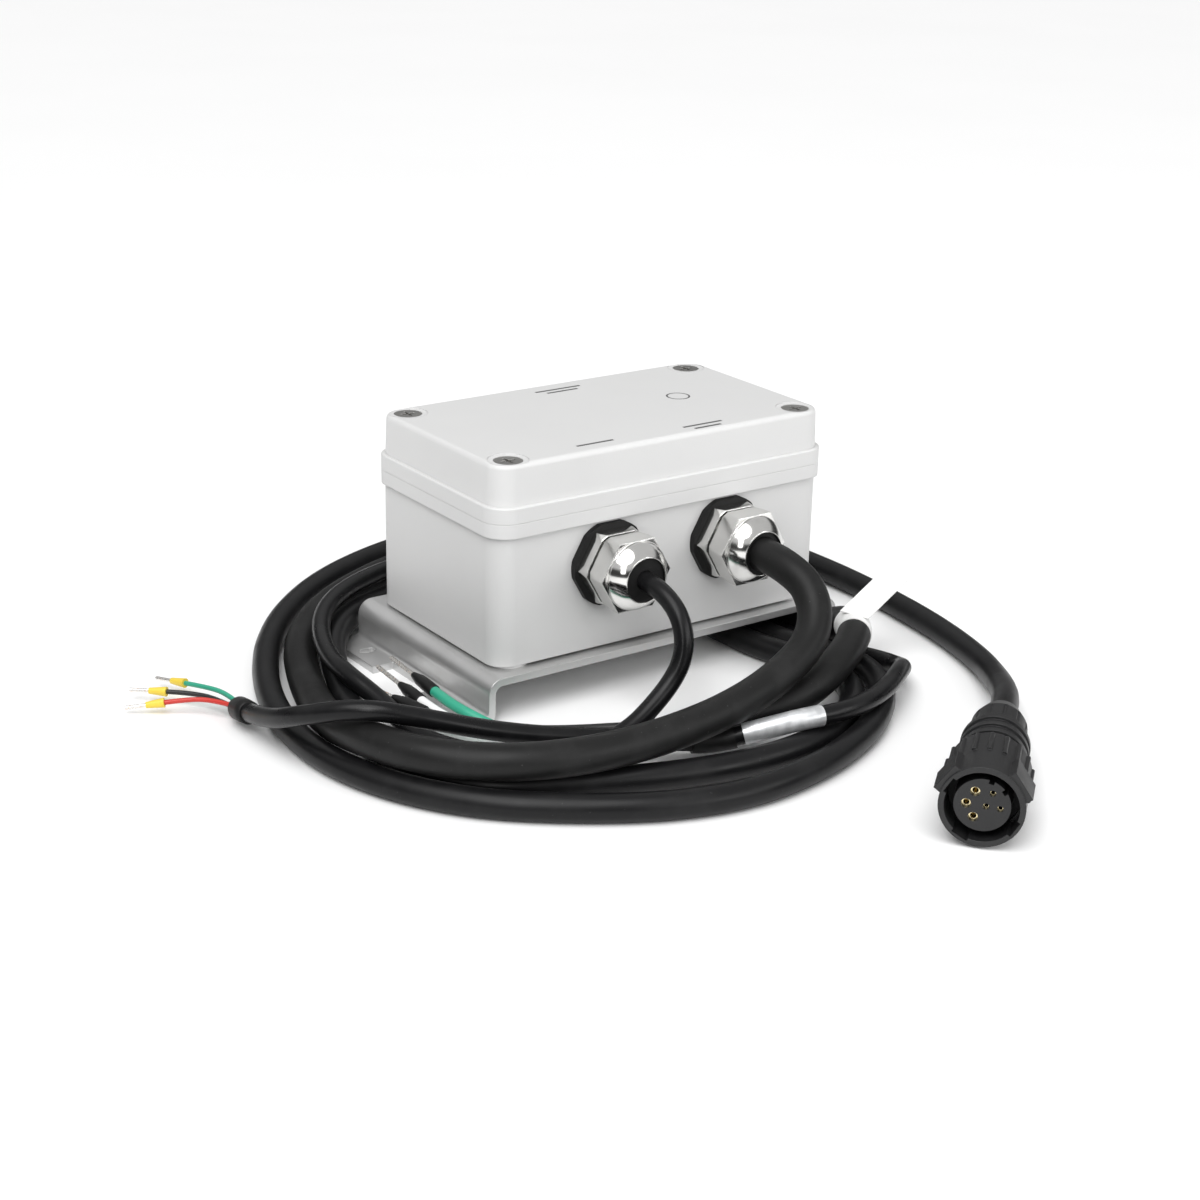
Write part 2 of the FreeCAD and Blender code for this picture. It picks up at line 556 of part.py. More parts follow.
def make_power_end():
    """Three stripped cores, each with a black shrink end and a tinned strand tip."""
    core = size("core_diameter")
    boots = []
    tips = []
    for label, points in CORE_ROUTES.items():
        make_cable(label, points, core)
        end = Vector(*points[-1])
        heading = (end - Vector(*points[-2])).normalize()
        boot = Part.makeCone(core / 2 + 0.4, core / 2 - 0.5, 15, end, heading)
        boots.append(boot)
        tip_start = end + heading * 15
        reach = 14 if "black" in label else 20
        tips.append(Part.makeCylinder(0.9, reach, tip_start, heading))
    solid_node(boots, "power_core_boots")
    solid_node(tips, "power_core_strands")


def make_data_end():
    """A shrink sleeve over the jacket's end and three thin wires with crimped ferrules."""
    end = Vector(*DATA_ROUTE[-1])
    heading = (end - Vector(*DATA_ROUTE[-2])).normalize()
    radius = size("data_diameter") / 2
    boot_start = end - heading * 12
    boot = Part.makeCylinder(radius + 0.9, 15, boot_start, heading)
    boot = boot.cut(Part.makeCylinder(radius, 12, boot_start, heading))
    solid_node([boot], "data_end_sleeve")
    collars = []
    pins = []
    for label, points in WIRE_ROUTES.items():
        make_cable(label, points, size("wire_diameter"))
        tip = Vector(*points[-1])
        along = (tip - Vector(*points[-2])).normalize()
        collars.append(Part.makeCone(1.9, 1.2, 7, tip, along))
        pins.append(Part.makeCylinder(0.75, 8, tip + along * 7, along))
    solid_node(collars, "ferrule_collars")
    solid_node(pins, "ferrule_pins")


def make_labels():
    data = size("data_diameter") / 2
    power = size("power_diameter") / 2
    silver = sleeve(DATA_ROUTE, (-3, -134, 14.6), (-17, -127.5, 11.2), data, data + 0.35)
    solid_node([silver], "silver_wrap")
    tape = sleeve(DATA_ROUTE, (-32, -118, 6.4), (-32, -118, 6.4), data, data + 0.8)
    solid_node([tape], "data_tape_sleeve")
    station = (66, -84, 18.6)
    wrap = sleeve(POWER_ROUTE, station, station, power, power + 0.3)
    flag = Part.makeBox(38, 13, 0.4)
    anchor = Vector(*station) + Vector(0, -7, power - 0.5)
    flag.Placement = Placement(anchor, Rotation(18, -14, 0))
    solid_node([wrap.fuse(flag)], "cable_flag_label")


# --------------------------------------------------------------------------- plug
PLUG_AXIS = Vector(-0.766, -0.643, 0).normalize()
PLUG_ENTRY = Vector(56.1, -175, 15.65)


def plug_node(shapes, label):
    """Sub-parts of the plug are drawn along +Z from the cable's entry, then laid on the floor."""
    entry = Placement(PLUG_ENTRY, Rotation(Vector(0, 0, 1), PLUG_AXIS))
    item = solid_node(shapes, label)
    item.Placement = entry
    return item


def tube(inner, outer, start, end):
    ring = Part.makeCylinder(outer, end - start, Vector(0, 0, start))
    return ring.cut(Part.makeCylinder(inner, end - start + 2, Vector(0, 0, start - 1)))


def make_plug():
    cable = size("output_diameter") / 2
    shell_radius = size("plug_radius")
    ring_outer = size("ring_outer")
    ring_bore = size("ring_bore")
    length = size("plug_length")
    ring_start = length - size("ring_length")

    cap = Part.makeCone(7.6, 10.2, 9, Vector(0, 0, 0)).fuse(Part.makeCylinder(10.2, 11, Vector(0, 0, 9)))
    for step in range(12):
        groove = Part.makeCylinder(0.8, 12, Vector(10.6, 0, 9))
        groove.rotate(Vector(0, 0, 0), Vector(0, 0, 1), 30 * step)
        cap = cap.cut(groove)
    cap = cap.cut(Part.makeCylinder(8, 12, Vector(0, 0, 9)))
    cap = cap.cut(Part.makeCylinder(cable, 20, Vector(0, 0, -1)))
    plug_node([cap], "plug_end_cap")

    grommet = tube(cable, 8, 9.2, 15.9)

    shell = Part.makeCylinder(8, 5, Vector(0, 0, 16)).fuse(
        Part.makeCylinder(shell_radius, ring_start - 22.2, Vector(0, 0, 20.2)))
    for height in (24, 30, 36):
        shell = shell.fuse(Part.makeCylinder(shell_radius + 1, 2.6, Vector(0, 0, height)))
    shell = shell.fuse(Part.makeCylinder(shell_radius - 0.4, length - 14 - ring_start + 2.2,
                                         Vector(0, 0, ring_start - 2.2)))
    shell = shell.cut(Part.makeCylinder(9.6, length, Vector(0, 0, 24)))
    shell = shell.cut(Part.makeCylinder(cable, 40, Vector(0, 0, 10)))
    plug_node([shell], "plug_shell")

    bearing = shell_radius - 0.4 + size("running_gap")
    ring = tube(bearing, ring_outer, ring_start, length - 14.2)
    ring = ring.fuse(tube(ring_bore, ring_outer, length - 14.2, length))
    for step in range(18):
        rib = Part.makeCylinder(0.9, size("ring_length") - 16, Vector(ring_outer, 0, ring_start + 1))
        rib.rotate(Vector(0, 0, 0), Vector(0, 0, 1), 20 * step)
        ring = ring.fuse(rib)
    for side in (95, 345):
        lug = Part.makeBox(3.2, 11, 12, Vector(ring_outer - 1.6, -5.5, length - 12.6))
        lug.rotate(Vector(0, 0, 0), Vector(0, 0, 1), side)
        ring = ring.fuse(lug)
    for side in (100, 190, 280):
        track = Part.makeBox(1.4, 6, 12, Vector(ring_bore - 0.6, -3, length - 11))
        track.rotate(Vector(0, 0, 0), Vector(0, 0, 1), side)
        ring = ring.cut(track)
    plug_node([ring], "plug_coupling_ring")

    face = size("insert_face")
    carrier = Part.makeCylinder(face, length - 26, Vector(0, 0, 24.2))
    for turn in (-12, 24):
        key = Part.makeBox(3, 1.8, 12, Vector(face - 1.3, -0.9, length - 12))
        key.rotate(Vector(0, 0, 0), Vector(0, 0, 1), turn)
        carrier = carrier.cut(key)
    large = []
    small = []
    for turn in (70, 130, 190):
        large.append((5.4 * math.cos(math.radians(turn)), 5.4 * math.sin(math.radians(turn)), 1.7))
    for x, y in ((0.6, -1.2), (5.6, 0.6), (3.4, -5)):
        small.append((x, y, 1.1))
    contacts_large = []
    contacts_small = []
    for x, y, radius in large + small:
        well = Part.makeCylinder(radius, 22, Vector(x, y, length - 20))
        carrier = carrier.cut(well)
        contact = Part.makeCylinder(radius, 17, Vector(x, y, length - 20)).cut(
            Part.makeCylinder(radius * 0.62, 12, Vector(x, y, length - 13)))
        group = contacts_large if radius > 1.5 else contacts_small
        group.append(contact)
    plug_node([carrier], "plug_insert")
    plug_node(contacts_large + contacts_small, "plug_contacts")
    face_seal = tube(face, ring_bore - 0.1, length - 14, length - 12.2)
    plug_node([grommet, face_seal], "plug_seals")


# --------------------------------------------------------------------------- inside
def make_board():
    deck = "board_height"
    plate = box("BoardPlate", "board_length", "board_width", "board_thick", z=deck)
    holes = []
    for column, row, x, y in at_corners("board_screw_span", "board_screw_pitch"):
        holes.append(rod("BoardHole%d%d" % (column, row), 1.6, 10, x, y, "board_height - 4"))
    node(cut("Board", plate, *holes), "protection_board")
    shapes = []
    top = size("board_height") + size("board_thick")
    for column, row in ((-1, -1), (1, -1), (-1, 1), (1, 1)):
        x = column * size("board_screw_span") / 2
        y = row * size("board_screw_pitch") / 2
        screw = Part.makeCylinder(2.7, 1.8, Vector(x, y, top))
        screw = screw.fuse(Part.makeCylinder(1.25, 8, Vector(x, y, top - 7.6)))
        shapes.append(screw.cut(Part.makeBox(3.6, 0.7, 1, Vector(x - 1.8, y - 0.35, top + 1))))
    solid_node(shapes, "board_screws")


def terminal(label, x, y, ways, pitch, depth, tall, side=-1):
    """A screw terminal block: one housing with a screw well and a wire mouth per way."""
    top = size("board_height") + size("board_thick")
    width = ways * pitch
    housing = Part.makeBox(width, depth, tall, Vector(x - width / 2, y - depth / 2, top))
    for way in range(ways):
        middle = x - width / 2 + pitch * (way + 0.5)
        housing = housing.cut(Part.makeCylinder(pitch * 0.3, 4, Vector(middle, y, top + tall - 4)))
        mouth = Part.makeBox(pitch * 0.6, 3, pitch * 0.6,
                             Vector(middle - pitch * 0.3, y + side * (depth / 2 - 1) - 1.5, top + 1.4))
        housing = housing.cut(mouth)
    solid_node([housing], label)
    screws = []
    for way in range(ways):
        middle = x - width / 2 + pitch * (way + 0.5)
        screw = Part.makeCylinder(pitch * 0.3, 2.2, Vector(middle, y, top + tall - 4))
        screws.append(screw.cut(Part.makeBox(pitch * 0.5, 0.6, 1,
                                             Vector(middle - pitch * 0.25, y - 0.3, top + tall - 2.6))))
    return screws


def make_components():
    top = size("board_height") + size("board_thick")
    screws = terminal("power_terminal_block", 34, -20, 3, 7.5, 11, 11)
    screws += terminal("data_terminal_block", -34, -20, 3, 5.1, 8.6, 9)
    screws += terminal("output_terminal_block", 0, 20, 6, 5.1, 8.6, 9, side=1)
    solid_node(screws, "terminal_screws")

    discs = []
    for place_x in (14, 24, 34):
        disc = Part.makeCylinder(7, 4.4, Vector(place_x - 2.2, 0, top + 8), Vector(1, 0, 0))
        for lead in (-3.4, 3.4):
            disc = disc.fuse(Part.makeCylinder(0.4, 3.5, Vector(place_x, lead, top)))
        discs.append(disc)
    solid_node(discs, "varistors")

    arrester = Part.makeCylinder(4, 6.4, Vector(-8, -3, top + 4.6), Vector(0, 1, 0))
    solid_node([arrester.fuse(Part.makeBox(5, 1, 1.6, Vector(-10.5, -0.5, top)))],
               "gas_discharge_tube")

    fuse_body = Part.makeCylinder(2.6, 20, Vector(44, -8, top + 5.4), Vector(0, 1, 0))
    clips = []
    for y in (-7.6, 7):
        clip = Part.makeBox(8, 4.6, 6, Vector(40, y, top))
        clips.append(clip.cut(Part.makeCylinder(2.6, 8, Vector(44, y - 1, top + 5.4), Vector(0, 1, 0))))
    solid_node([fuse_body.cut(clips[0]).cut(clips[1])] + clips, "fuse_in_clips")

    suppressors = []
    for step in range(4):
        suppressors.append(Part.makeBox(4.3, 6.8, 2.3, Vector(-42 + 7.5 * step, -4, top)))
    solid_node(suppressors, "suppressor_diodes")

    core = Part.makeBox(16, 14, 12, Vector(-36, 8, top))
    solid_node([core.cut(Part.makeBox(6, 20, 5, Vector(-31, 5, top + 3.5)))], "line_choke")


# Side of the box, gland x, terminal x, terminal pitch, number of leads, lead diameter, cable.
INNER_LEADS = [
    (-1, 28.3, 34, 7.5, 3, 2.6, "power_diameter"),
    (-1, -28.3, -34, 5.1, 3, 1.5, "data_diameter"),
    (1, 0, 0, 5.1, 6, 1.5, "output_diameter"),
]


def make_inner_leads():
    """Jacket tails inside the glands and the insulated leads from them down to the terminals."""
    tails = []
    leads = []
    level = size("gland_height")
    for side, gland_x, block_x, pitch, ways, diameter, cable in INNER_LEADS:
        start = Vector(gland_x, side * 34.6, level)
        tails.append(Part.makeCylinder(size(cable) / 2, 10.4, start, Vector(0, side, 0)))
        for way in range(ways):
            spread = way - (ways - 1) / 2
            x0 = gland_x + spread * diameter * 1.06
            x1 = block_x + spread * pitch
            y1 = side * (27.6 if ways == 3 else 26.4)
            points = [(x0, side * 34.6, level), (x0, side * 30.9, level),
                      (x0 * 0.5 + x1 * 0.5, side * 28.6, level - 7),
                      (x1, y1 + side * 0.4, 38.6), (x1, y1, 33)]
            leads.append(sweep(path_edges(points)[0], diameter / 2))
    solid_node(tails, "jacket_tails")
    solid_node(leads, "inner_leads")


make_bracket()
make_base()
make_lid()
make_gasket()
make_cover_screws()
make_bracket_screws()
for gland in GLANDS:
    make_gland(*gland)
make_cables()
make_power_end()
make_data_end()
make_labels()
make_plug()
make_board()
make_components()
make_inner_leads()

doc.recompute()
for item in doc.Objects:
    faults = [state for state in item.State if state in ("Invalid", "Error")]
    if faults:
        raise RuntimeError("%s is %s" % (item.Name, faults))
for item in NODES:
    shape = item.Shape
    if shape.isNull() or not shape.isValid() or not shape.Solids:
        raise RuntimeError("%s has no valid solid" % item.Label)
os.makedirs("parts", exist_ok=True)
for item in NODES:
    item.Shape.exportStep("parts/%s.step" % item.Label)
print("%d sub-parts written" % len(NODES))
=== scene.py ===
"""Looks for the surge protection junction box: cables, materials, studio floor and light."""
import math

import bpy
from mathutils import Matrix, Vector


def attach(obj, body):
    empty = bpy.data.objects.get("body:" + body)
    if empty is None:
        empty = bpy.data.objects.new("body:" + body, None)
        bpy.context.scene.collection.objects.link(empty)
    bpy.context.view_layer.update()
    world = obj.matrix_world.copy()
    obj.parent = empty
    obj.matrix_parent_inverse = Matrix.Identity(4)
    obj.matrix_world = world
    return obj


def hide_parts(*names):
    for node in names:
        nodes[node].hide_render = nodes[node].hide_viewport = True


# Lengths are in millimetres, and MM turns them into metres. The cord facts and the studio are in metres.
MM = 0.001
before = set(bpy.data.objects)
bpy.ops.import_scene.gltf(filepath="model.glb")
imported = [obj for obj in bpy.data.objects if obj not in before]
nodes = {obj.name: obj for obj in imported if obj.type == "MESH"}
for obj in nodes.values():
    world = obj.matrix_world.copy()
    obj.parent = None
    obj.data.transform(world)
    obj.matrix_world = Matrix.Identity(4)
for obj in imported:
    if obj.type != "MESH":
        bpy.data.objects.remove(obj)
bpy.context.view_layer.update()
collection = bpy.context.scene.collection

POWER_DIAMETER = 13.4
DATA_DIAMETER = 7.4
OUTPUT_DIAMETER = 10.5
CORE_DIAMETER = 4.1
WIRE_DIAMETER = 1.9

CAMERA_AZIMUTH = -35.572
CAMERA_ELEVATION = 20.946
CAMERA_ROLL = 1.307
CAMERA_DISTANCE = 876.54
CAMERA_TARGET = (0.3, 0, 16.6)
CAMERA_SENSOR = 36
CAMERA_LENS = 63.7


# ------------------------------------------------------------------ camera
def make_camera():
    """Look down at the enclosure's foot from the front left; the angles are in degrees."""
    azimuth = math.radians(CAMERA_AZIMUTH)
    elevation = math.radians(CAMERA_ELEVATION)
    roll = math.radians(CAMERA_ROLL)
    flat = math.cos(elevation)
    back = Vector((math.sin(azimuth) * flat, -math.cos(azimuth) * flat, math.sin(elevation)))
    side = (-back).cross(Vector((0, 0, 1))).normalized()
    up = side.cross(-back)
    right = side * math.cos(roll) + up * math.sin(roll)
    top = up * math.cos(roll) - side * math.sin(roll)
    data = bpy.data.cameras.new("Camera")
    data.sensor_width = CAMERA_SENSOR
    data.lens = CAMERA_LENS
    camera = bpy.data.objects.new("Camera", data)
    turn = Matrix((right, top, back)).transposed().to_4x4()
    place = (Vector(CAMERA_TARGET) + back * CAMERA_DISTANCE) * MM
    camera.matrix_world = Matrix.Translation(place) @ turn
    collection.objects.link(camera)
    bpy.context.scene.camera = camera


make_camera()

# ------------------------------------------------------------------ cords
# Each route is a cord's control points, listed from the gland to the free end.
POWER_ROUTE = [
    (28.3, -45, 52.8), (28.3, -71, 52.8), (28.6, -84, 51.6), (30, -95, 47), (27, -104, 38.5),
    (18, -110.5, 30.5), (2, -115, 24.5), (-18, -120, 20.8), (-42, -123, 18.2),
    (-72, -125, 17.6), (-100, -121, 17.6),
    (-124, -110, 17.9), (-141, -91, 18), (-149, -66, 17), (-146, -34, 10.8), (-133.5, 4, 6.9),
    (-118.2, 41, 6.8), (-94, 71, 6.8), (-62, 92, 6.8), (-26, 105, 6.8), (12, 110, 6.8),
    (46, 102, 6.8), (68, 81, 6.8), (74.4, 50, 6.8), (74, 8, 6.8), (74.4, -32, 6.8),
    (74.6, -54, 7.8), (73.5, -69, 15.2), (66, -84, 18.6), (52, -97, 18.8), (34, -107, 16.3),
    (15, -112, 11.5), (-6, -110, 7.6), (-28, -105, 6.8)]
DATA_ROUTE = [
    (-28.3, -45, 52.8), (-28.3, -70, 52.8), (-28.2, -80, 51.4), (-27.4, -88, 46.6),
    (-27.5, -93, 39), (-29.5, -95, 30),
    (-34, -95, 22.5), (-42, -95.5, 15.5), (-54, -97, 8.6), (-72, -97, 3.8), (-92, -90, 3.8),
    (-109, -75, 3.8), (-118, -51, 3.8), (-119, -30, 9.5), (-124.5, -10, 16), (-122, 8, 16),
    (-114, 30, 17.7), (-101, 49, 18.4), (-84, 63, 18.6), (-64, 73, 18.2), (-45, 83, 15.5),
    (-24, 92, 9.4), (4, 97.5, 3.9),
    (31, 94, 3.8), (51.5, 83, 3.8), (61.5, 65, 3.8), (62.8, 40, 3.8), (62.4, 2, 3.8),
    (62.8, -36, 3.8), (64.5, -58, 3.8), (71, -74, 3.8), (77.5, -87, 3.8), (76.5, -101, 5.5),
    (63, -115, 13.2), (38, -132, 15), (15, -138, 15), (-3, -134, 14.6), (-17, -127.5, 11.2),
    (-32, -118, 6.4), (-48, -110, 7.4), (-66, -103, 10.5), (-87, -95, 13), (-108, -86, 17),
    (-130, -78, 24), (-150, -68, 29), (-163, -49, 22), (-166, -25, 12), (-163, 2, 5.9)]
OUTPUT_ROUTE = [
    (0, 45, 52.8), (0, 70, 52.8), (0.4, 85, 52.3), (3.4, 98, 49.2), (13, 107, 43.5), (26, 106, 36),
    (36, 96, 29), (40.5, 82, 22), (41, 66, 13.6), (41.2, 50, 6.8), (41, 30, 5.3),
    (40.6, -2, 5.3), (40.8, -34, 5.3), (42.5, -55, 5.3), (48, -73, 5.3), (51, -91, 5.3),
    (44, -109, 5.3), (27, -125.5, 5.3), (2, -136.5, 5.3), (-28, -138.5, 5.3), (-62, -131, 5.3),
    (-94, -117, 5.3), (-120, -104, 5.3), (-135, -80, 5.3), (-135, -50, 5.3), (-127.5, -20, 5.3),
    (-118.5, 7, 6.4), (-108, 32.5, 8.9), (-88, 57, 8.9), (-60, 73, 6.2), (-22, 83.5, 5.3),
    (12, 84.5, 5.3), (37, 79.5, 5.3), (50.5, 65, 5.3), (52.4, 42, 5.3), (51.9, 6, 5.3),
    (52.2, -32, 5.3), (54.5, -57, 5.3), (61.5, -75, 5.3), (64.5, -92, 5.3), (57.5, -110, 5.3),
    (43, -126.5, 5.3), (22, -141, 5.3), (-8, -153, 5.3), (-42, -158, 5.3), (-74, -151, 5.3),
    (-104, -134, 5.3), (-132, -111, 5.3), (-151, -79, 5.3), (-158, -42, 5.3), (-152, -5, 5.3),
    (-140, 27, 5.3), (-122, 59, 5.3), (-97, 88, 5.3), (-66, 111, 5.3), (-30, 126, 5.3),
    (10, 133, 5.3), (50, 128, 5.3), (86, 107, 5.3), (111, 74, 5.3), (123, 36, 5.3),
    (125.5, -4, 5.3), (123.5, -42, 5.3), (118.5, -78, 5.3), (109, -111, 5.6), (95, -136, 7.8),
    (77.5, -157, 12.6), (58.4, -173, 15.6), (46.9, -182.7, 15.65)]
# The cores and wires start where their cable's jacket ends.
CORE_ROUTES = {
    "power_core_green": [
        (-29.4, -102.1, 5.4), (-40, -94.5, 2.3), (-52, -87, 2.2), (-66, -81, 2.2), (-80, -74, 2.6),
        (-91, -65, 5.6), (-97, -54, 8.8), (-99, -42, 10), (-98, -29, 10)],
    "power_core_white": [
        (-29.4, -107, 5.2), (-41, -100, 2.3), (-54.5, -91, 2.2), (-69, -85, 2.2), (-83.5, -77.5, 2.6),
        (-95.5, -68.5, 5), (-103, -57, 7.6), (-106, -45, 8.4), (-105, -31, 8.4)],
    "power_core_black": [
        (-29.4, -104.6, 10.2), (-41, -97, 6.6), (-53.5, -89, 6), (-68, -83, 6.2), (-82.5, -76, 6.8),
        (-95, -69.5, 9), (-104, -62, 9.4), (-109.3, -53, 9.4), (-111.2, -43, 9.6)],
}
WIRE_ROUTES = {
    "data_wire_green": [(-162, 5.8, 6.7), (-162, 14, 6.9), (-164, 24, 6.3), (-169, 36, 5)],
    "data_wire_black": [(-163.4, 5.8, 4.8), (-165, 15, 4.9), (-170, 25, 5), (-178, 33, 4.6)],
    "data_wire_red": [(-164.8, 5.8, 6.2), (-168.5, 13, 6.3), (-175, 19, 6), (-183, 24, 4.6)],
}


def add_piece(name, data):
    """Put a new object in the scene, riding on the enclosure's body."""
    piece = bpy.data.objects.new(name, data)
    collection.objects.link(piece)
    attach(piece, "box")
    return piece


def dress(piece, material):
    """Give a new piece its material."""
    piece.data.materials.append(material)


def cord_curve(name, points, diameter):
    """A round cord along one smooth NURBS curve, whose control points are the route's.

    The bevel is in millimetres, and each point's radius scales it to metres. A radius that
    small also keeps the curve's own bounds close to the cord.
    """
    curve = bpy.data.curves.new(name, "CURVE")
    curve.dimensions = "3D"
    curve.bevel_depth = diameter / 2
    curve.bevel_resolution = 8
    curve.resolution_u = 14
    curve.use_fill_caps = True
    spline = curve.splines.new("NURBS")
    spline.points.add(len(points) - 1)
    for control, point in zip(spline.points, points):
        control.co = (point[0] * MM, point[1] * MM, point[2] * MM, 1)
        control.radius = MM
    spline.order_u = 3
    spline.use_endpoint_u = True
    return add_piece(name, curve)


def heading(points):
    """The direction in which a route ends."""
    return (Vector(points[-1]) - Vector(points[-2])).normalized()


power_cord = cord_curve("PowerCord", POWER_ROUTE, POWER_DIAMETER)
data_cord = cord_curve("DataCord", DATA_ROUTE, DATA_DIAMETER)
output_cord = cord_curve("OutputCord", OUTPUT_ROUTE, OUTPUT_DIAMETER)
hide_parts("power_cable")
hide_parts("data_cable")
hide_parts("output_cable")


# ------------------------------------------------------------------ materials
class Surface:
    """A Principled material in object coordinates, built up by noise layers."""

    def __init__(self, name, color, roughness, metallic=0.0):
        self.material = bpy.data.materials.new(name)
        self.material.use_nodes = True
        self.tree = self.material.node_tree
        self.shader = self.tree.nodes["Principled BSDF"]
        self.color = color
        self.roughness = roughness
        self.shader.inputs["Base Color"].default_value = (*color, 1)
        self.shader.inputs["Roughness"].default_value = roughness
        self.shader.inputs["Metallic"].default_value = metallic
        self.place = self.tree.nodes.new("ShaderNodeTexCoord").outputs["Object"]
        self.color_socket = None
        self.height = None

    def link(self, source, target):
        self.tree.links.new(source, target)

    def math(self, operation, *values):
        item = self.tree.nodes.new("ShaderNodeMath")
        item.operation = operation
        for socket, value in zip(item.inputs, values):
            if isinstance(value, (int, float)):
                socket.default_value = value
            else:
                self.link(value, socket)
        return item.outputs[0]

    def noise(self, scale, detail=4.0, stretch=(1, 1, 1), roughness=0.55):
        mapping = self.tree.nodes.new("ShaderNodeMapping")
        mapping.inputs["Scale"].default_value = stretch
        self.link(self.place, mapping.inputs["Vector"])
        item = self.tree.nodes.new("ShaderNodeTexNoise")
        item.inputs["Scale"].default_value = scale
        item.inputs["Detail"].default_value = detail
        item.inputs["Roughness"].default_value = roughness
        self.link(mapping.outputs[0], item.inputs["Vector"])
        return item.outputs["Fac"]

    def ramp(self, value, low, high, start=0.0, end=1.0):
        item = self.tree.nodes.new("ShaderNodeMapRange")
        item.inputs["From Min"].default_value = low
        item.inputs["From Max"].default_value = high
        item.inputs["To Min"].default_value = start
        item.inputs["To Max"].default_value = end
        self.link(value, item.inputs["Value"])
        return item.outputs[0]

    def tint(self, mask, color):
        """Mix another colour in where the mask is 1."""
        mix = self.tree.nodes.new("ShaderNodeMix")
        mix.data_type = "RGBA"
        self.link(mask, mix.inputs["Factor"])
        if self.color_socket is None:
            mix.inputs["A"].default_value = (*self.color, 1)
        else:
            self.link(self.color_socket, mix.inputs["A"])
        mix.inputs["B"].default_value = (*color, 1)
        self.color_socket = mix.outputs["Result"]
        self.link(self.color_socket, self.shader.inputs["Base Color"])
        return self

    def vary_roughness(self, mask, spread):
        low = self.roughness - spread
        high = self.roughness + spread
        self.link(self.ramp(mask, 0.3, 0.7, low, high), self.shader.inputs["Roughness"])
        return self

    def raise_by(self, mask, depth):
        """Add a relief of depth millimetres where the mask is 1."""
        layer = self.math("MULTIPLY", mask, depth)
        self.height = layer if self.height is None else self.math("ADD", self.height, layer)
        return self

    def finish(self, edge=0.0):
        """Link the relief, over edges rounded by edge millimetres."""
        bump = self.tree.nodes.new("ShaderNodeBump")
        bump.inputs["Distance"].default_value = MM
        self.link(self.height, bump.inputs["Height"])
        if edge:
            rounding = self.tree.nodes.new("ShaderNodeBevel")
            rounding.samples = 6
            rounding.inputs["Radius"].default_value = edge * MM
            self.link(rounding.outputs[0], bump.inputs["Normal"])
        self.link(bump.outputs[0], self.shader.inputs["Normal"])
        return self.material


def powder_coat(name, color):
    """Painted sheet or casting with a fine orange peel; the caller finishes it."""
    coat = Surface(name, color, 0.42)
    broad = coat.noise(9, 3)
    peel = coat.noise(1900, 2)
    darker = tuple(0.93 * part for part in color)
    coat.tint(coat.ramp(broad, 0.4, 0.75), darker)
    coat.vary_roughness(broad, 0.05)
    coat.raise_by(peel, 0.035)
    return coat


def bracket_metal():
    """Satin sheet metal, brushed along X and slightly cloudy."""
    metal = Surface("BracketMetal", (0.52, 0.52, 0.515), 0.34, 0.75)
    clouds = metal.noise(22, 5)
    brushing = metal.noise(260, 3, (1, 14, 1))
    metal.tint(metal.ramp(clouds, 0.42, 0.7), (0.62, 0.62, 0.62))
    metal.vary_roughness(clouds, 0.08)
    metal.raise_by(brushing, 0.012)
    return metal.finish(0.5)


def plated_metal(name, color, roughness, edge):
    """Bright turned metal with faint tool marks and smudges."""
    plate = Surface(name, color, roughness, 1.0)
    smudge = plate.noise(60, 4)
    turning = plate.noise(500, 2, (1, 9, 1))
    plate.tint(plate.ramp(smudge, 0.5, 0.8), tuple(0.82 * part for part in color))
    plate.vary_roughness(smudge, 0.06)
    plate.raise_by(turning, 0.006)
    return plate.finish(edge)


def rubber(name, color, roughness, dust, grain=0.03):
    """Black rubber with a fine grain, pale dust specks and long scuffs."""
    skin = Surface(name, color, roughness)
    skin.shader.inputs["Specular IOR Level"].default_value = 0.22
    specks = skin.noise(900, 2)
    scuffs = skin.noise(55, 6)
    skin.tint(skin.ramp(scuffs, 0.5, 0.85, 0, dust), (0.16, 0.16, 0.16))
    skin.tint(skin.ramp(specks, 0.72, 0.76, 0, dust), (0.4, 0.4, 0.4))
    skin.vary_roughness(scuffs, 0.08)
    skin.raise_by(skin.noise(2600, 2), grain)
    skin.raise_by(skin.noise(140, 3), 0.05)
    return skin.finish()


def plastic(name, color, roughness, grain=0.02, edge=0.25, coat=0.0):
    """Moulded plastic with a fine grain and a slight mottle; coat adds a clear gloss."""
    body = Surface(name, color, roughness)
    mottle = body.noise(120, 3)
    body.tint(body.ramp(mottle, 0.45, 0.8), tuple(min(1, 1.12 * part + 0.002) for part in color))
    body.vary_roughness(mottle, 0.05)
    body.raise_by(body.noise(2400, 2), grain)
    body.shader.inputs["Coat Weight"].default_value = coat
    return body.finish(edge)


def stranded(name):
    """Tinned copper, reddish where the tin is thin."""
    metal = Surface(name, (0.78, 0.76, 0.73), 0.28, 1.0)
    patches = metal.noise(700, 3)
    metal.tint(metal.ramp(patches, 0.58, 0.7), (0.72, 0.4, 0.26))
    metal.vary_roughness(patches, 0.08)
    metal.raise_by(metal.noise(1500, 2), 0.02)
    return metal.finish()


def foil():
    """A creased metallic film, with painted shade in its crease hollows and a painted highlight on its
    ridges.
    """
    film = Surface("SilverFilm", (0.55, 0.56, 0.57), 0.36, 0.6)
    crease_relief_and_shade = film.noise(240, 4, (1, 1, 0.4))
    # Painted shade and highlight: the film's colour is darker where the crease relief is low and lighter
    # where it is high.
    film.tint(film.ramp(crease_relief_and_shade, 0.45, 0.7), (0.72, 0.73, 0.74))
    film.vary_roughness(crease_relief_and_shade, 0.08)
    film.raise_by(crease_relief_and_shade, 0.16)
    return film.finish()


